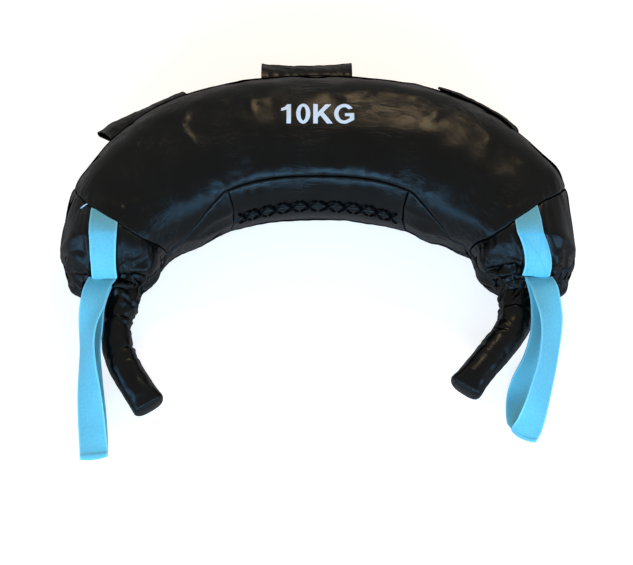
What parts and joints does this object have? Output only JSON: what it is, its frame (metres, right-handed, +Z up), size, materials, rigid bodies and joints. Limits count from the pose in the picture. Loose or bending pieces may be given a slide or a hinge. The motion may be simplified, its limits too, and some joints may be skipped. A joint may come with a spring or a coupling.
{
  "type": "bulgarian bag",
  "caption": "Crescent sand-filled training bag of stitched leather, with bent end handles, webbing hand loops, laced filling mouth and folded grips on the outer rim.",
  "frame": {"origin": "centre of the bounding box in plan, at the height of the floor that the bag lies on", "axes": "+X across the crescent, along its widest extent, +Y from the handles towards the outer rim, +Z up"},
  "size_m": [0.5514, 0.4901, 0.1364],
  "materials": {
    "artificial_leather": "soft sheen, lightly creased",
    "webbing": "woven polypropylene, sky blue",
    "lacing_cord": "waxed cord",
    "cotton_canvas": "plain weave",
    "wadding": "loose fibre",
    "sand": "dry sand, packed",
    "felt_core": "rolled felt"
  },
  "bodies": {
    "bag": {"front_panel": "artificial_leather", "back_panel": "artificial_leather", "end_panel_left_front": "artificial_leather", "end_panel_left_back": "artificial_leather", "end_panel_right_front": "artificial_leather", "end_panel_right_back": "artificial_leather", "gusset_left": "artificial_leather", "gusset_right": "artificial_leather", "closure_lip_upper": "artificial_leather", "closure_lip_lower": "artificial_leather", "closure_backing": "cotton_canvas", "lacing_cord": "lacing_cord", "wadding_front": "wadding", "wadding_back": "wadding", "sand_liner": "cotton_canvas", "liner_mouth_patch": "cotton_canvas", "sand_fill": "sand", "end_stuffing_left": "wadding", "end_stuffing_right": "wadding", "strap_anchor_left": "webbing", "strap_anchor_right": "webbing", "grip_root_centre": "artificial_leather", "grip_root_left": "artificial_leather", "grip_root_right": "artificial_leather"},
    "left_handle": {"handle_sleeve_left": "artificial_leather", "handle_core_left": "felt_core", "handle_cap_left": "artificial_leather"},
    "right_handle": {"handle_sleeve_right": "artificial_leather", "handle_core_right": "felt_core", "handle_cap_right": "artificial_leather"},
    "left_hand_loop": {"hand_loop_left": "webbing"},
    "right_hand_loop": {"hand_loop_right": "webbing"},
    "centre_grip": {"grip_sleeve_centre": "artificial_leather"},
    "left_grip": {"grip_sleeve_left": "artificial_leather"},
    "right_grip": {"grip_sleeve_right": "artificial_leather"}
  },
  "joints": [
    {"name": "left_handle_swing", "type": "hinge", "parent": "bag", "child": "left_handle", "pos_m": [-0.213, -0.0801, 0.041], "axis": [0, 0, 1], "range_deg": [0, 30]},
    {"name": "right_handle_swing", "type": "hinge", "parent": "bag", "child": "right_handle", "pos_m": [0.213, -0.0801, 0.041], "axis": [0, 0, -1], "range_deg": [0, 20]},
    {"name": "left_hand_loop_lift", "type": "hinge", "parent": "bag", "child": "left_hand_loop", "pos_m": [-0.2275, -0.0659, 0.0722], "axis": [-1, 0, 0], "range_deg": [0, 70]},
    {"name": "right_hand_loop_lift", "type": "hinge", "parent": "bag", "child": "right_hand_loop", "pos_m": [0.231, -0.0659, 0.0722], "axis": [-1, 0, 0], "range_deg": [0, 70]},
    {"name": "centre_grip_fold", "type": "hinge", "parent": "bag", "child": "centre_grip", "pos_m": [-0.01273, 0.20145, 0.0665], "axis": [1, 0.0095, 0], "range_deg": [-40, 75], "stiffness_Nm_per_rad": 0.02, "springref_deg": 9.17},
    {"name": "left_grip_fold", "type": "hinge", "parent": "bag", "child": "left_grip", "pos_m": [-0.18874, 0.15661, 0.06442], "axis": [0.8271, 0.562, 0], "range_deg": [-13.5, 101.5], "stiffness_Nm_per_rad": 0.02, "springref_deg": 6.76},
    {"name": "right_grip_fold", "type": "hinge", "parent": "bag", "child": "right_grip", "pos_m": [0.18693, 0.15782, 0.06448], "axis": [0.8329, -0.5535, 0], "range_deg": [-140, 0]}
  ]
}
